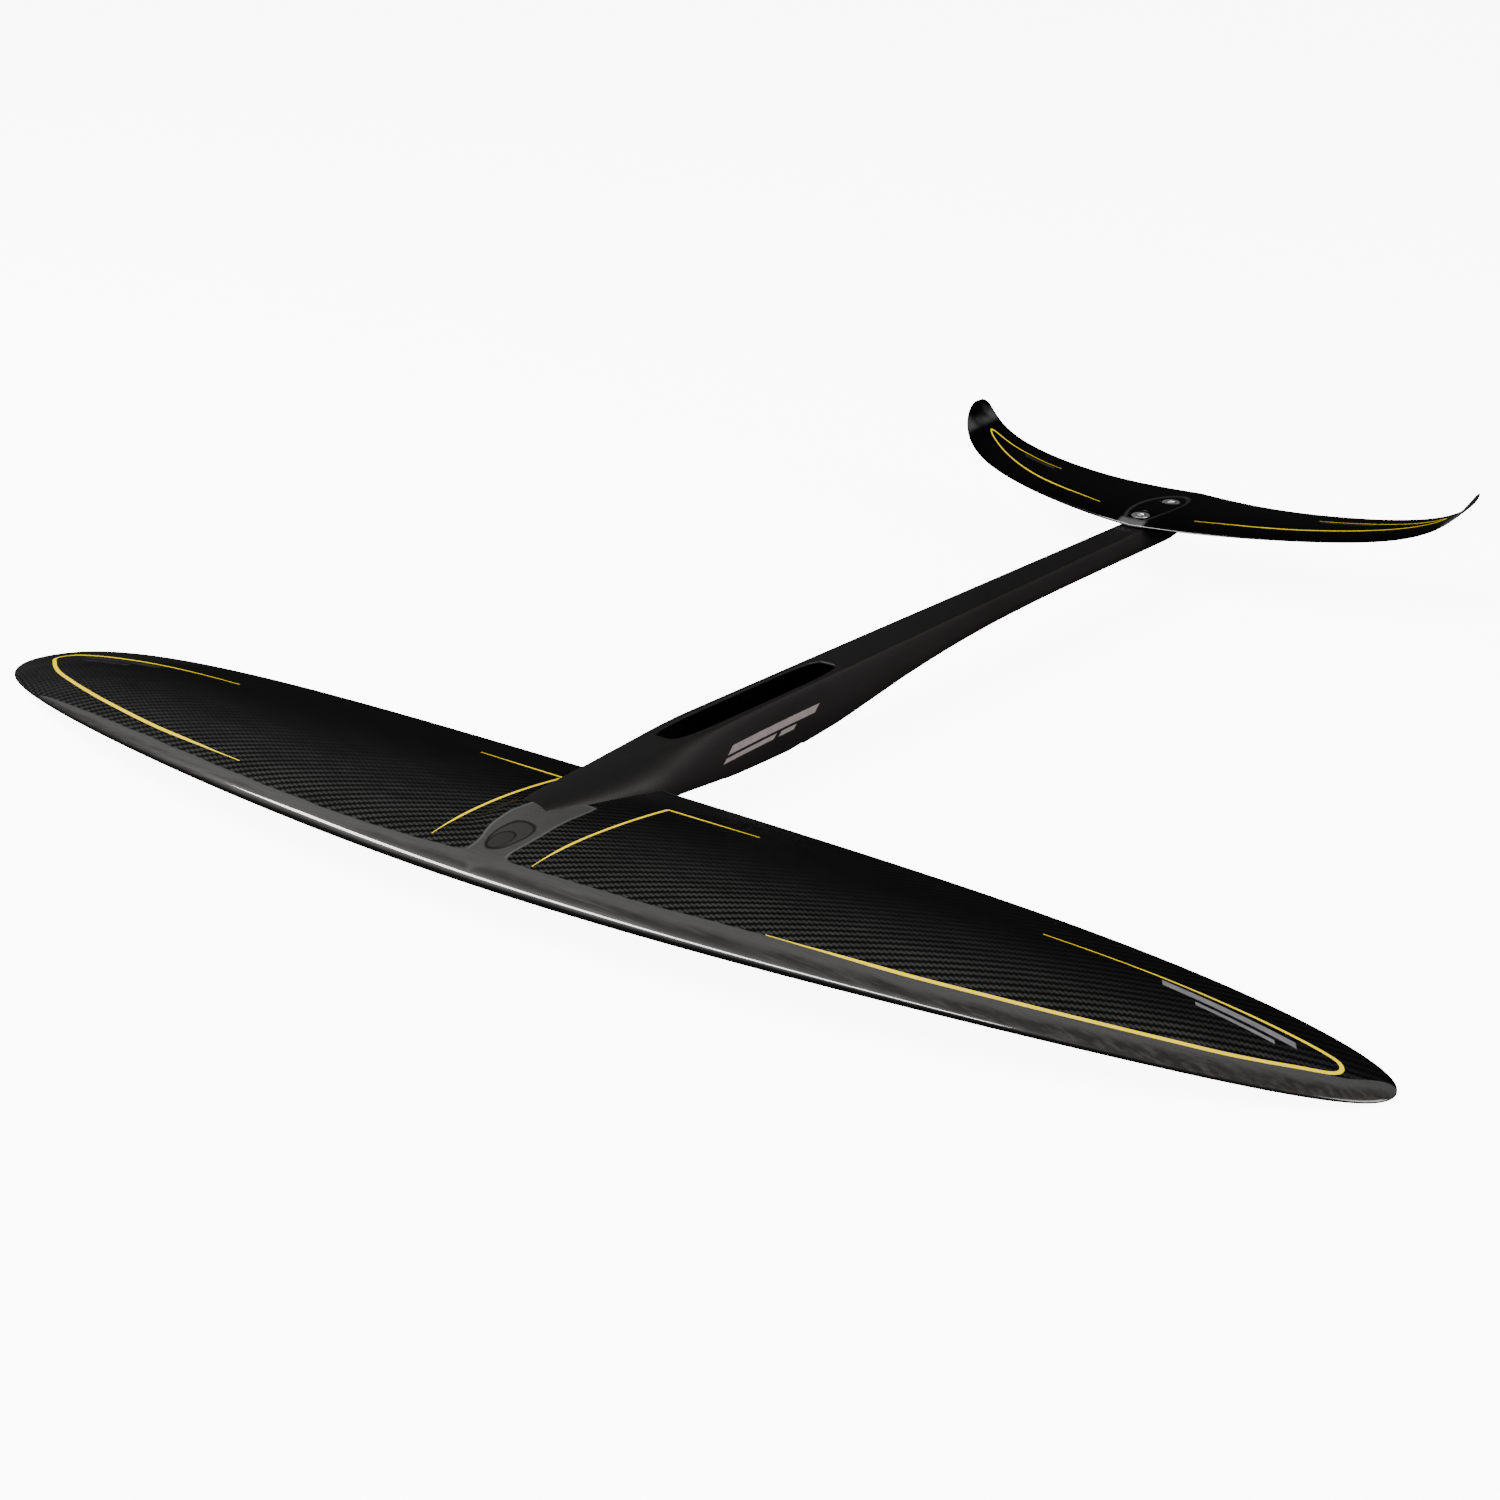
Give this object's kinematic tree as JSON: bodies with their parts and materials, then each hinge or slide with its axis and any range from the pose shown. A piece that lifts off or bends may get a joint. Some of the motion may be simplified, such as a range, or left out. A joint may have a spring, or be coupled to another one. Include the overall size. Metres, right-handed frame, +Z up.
{
  "type": "hydrofoil wing set",
  "caption": "Hydrofoil set: wide drooped front wing, long tapered fuselage with a mast socket, and a stabiliser with upturned tips, all held by countersunk screws.",
  "frame": {"origin": "middle of the flat floor of the mast socket, on the centreline", "axes": "+X across the span, +Y aft along the fuselage, +Z up out of the socket towards the mast"},
  "size_m": [0.9034, 0.757, 0.075],
  "materials": {
    "anodised_aluminium": "satin, brown-black anodised",
    "twill_carbon": "clear-coated twill carbon with thin yellow trim lines",
    "directional_carbon": "clear-coated unidirectional carbon, grey",
    "gloss_carbon": "gloss black solid carbon with thin yellow trim lines",
    "foam_core": "rigid foam",
    "laminate_block": "clear-coated solid laminate",
    "stainless_steel": "bright stainless",
    "insert_steel": "plain stainless"
  },
  "bodies": {
    "root": {"fuselage": "anodised_aluminium", "wing_insert_front": "insert_steel", "wing_insert_middle": "insert_steel", "wing_insert_rear": "insert_steel", "stabiliser_insert_front": "insert_steel", "stabiliser_insert_rear": "insert_steel", "mast_screw_cup_front": "stainless_steel", "mast_screw_cup_rear": "stainless_steel"},
    "front_wing": {"front_wing_upper_skin": "twill_carbon", "front_wing_lower_skin": "twill_carbon", "front_wing_leading_edge": "directional_carbon", "front_wing_core_left": "foam_core", "front_wing_core_right": "foam_core", "front_wing_keel_block": "laminate_block", "wing_screw_cup_front": "stainless_steel", "wing_screw_cup_middle": "stainless_steel", "wing_screw_cup_rear": "stainless_steel"},
    "stabiliser": {"stabiliser": "gloss_carbon", "stabiliser_screw_cup_front": "stainless_steel", "stabiliser_screw_cup_rear": "stainless_steel"},
    "wing_screw_front": {"wing_screw_front": "stainless_steel"},
    "wing_screw_middle": {"wing_screw_middle": "stainless_steel"},
    "wing_screw_rear": {"wing_screw_rear": "stainless_steel"},
    "mast_screw_front": {"mast_screw_front": "stainless_steel"},
    "stabiliser_screw_front": {"stabiliser_screw_front": "stainless_steel"},
    "mast_screw_rear": {"mast_screw_rear": "stainless_steel"},
    "stabiliser_screw_rear": {"stabiliser_screw_rear": "stainless_steel"}
  },
  "joints": [
    {"name": "front_wing_release", "type": "slide", "parent": "root", "child": "front_wing", "axis": [0, -0.1146, -0.9934], "range_m": [0, 0.03]},
    {"name": "stabiliser_release", "type": "slide", "parent": "root", "child": "stabiliser", "axis": [0, 0, 1], "range_m": [0, 0.03]},
    {"name": "wing_screw_front_withdraw", "type": "slide", "parent": "front_wing", "child": "wing_screw_front", "axis": [0, -0.1146, -0.9934], "range_m": [0, 0.02]},
    {"name": "wing_screw_middle_withdraw", "type": "slide", "parent": "front_wing", "child": "wing_screw_middle", "axis": [0, -0.1146, -0.9934], "range_m": [0, 0.02]},
    {"name": "wing_screw_rear_withdraw", "type": "slide", "parent": "front_wing", "child": "wing_screw_rear", "axis": [0, -0.1146, -0.9934], "range_m": [0, 0.02]},
    {"name": "mast_screw_front_withdraw", "type": "slide", "parent": "root", "child": "mast_screw_front", "axis": [0, 0, -1], "range_m": [0, 0.03]},
    {"name": "mast_screw_rear_withdraw", "type": "slide", "parent": "root", "child": "mast_screw_rear", "axis": [0, 0, -1], "range_m": [0, 0.03]},
    {"name": "stabiliser_screw_front_withdraw", "type": "slide", "parent": "stabiliser", "child": "stabiliser_screw_front", "axis": [0, 0, 1], "range_m": [0, 0.016]},
    {"name": "stabiliser_screw_rear_withdraw", "type": "slide", "parent": "stabiliser", "child": "stabiliser_screw_rear", "axis": [0, 0, 1], "range_m": [0, 0.016]}
  ]
}
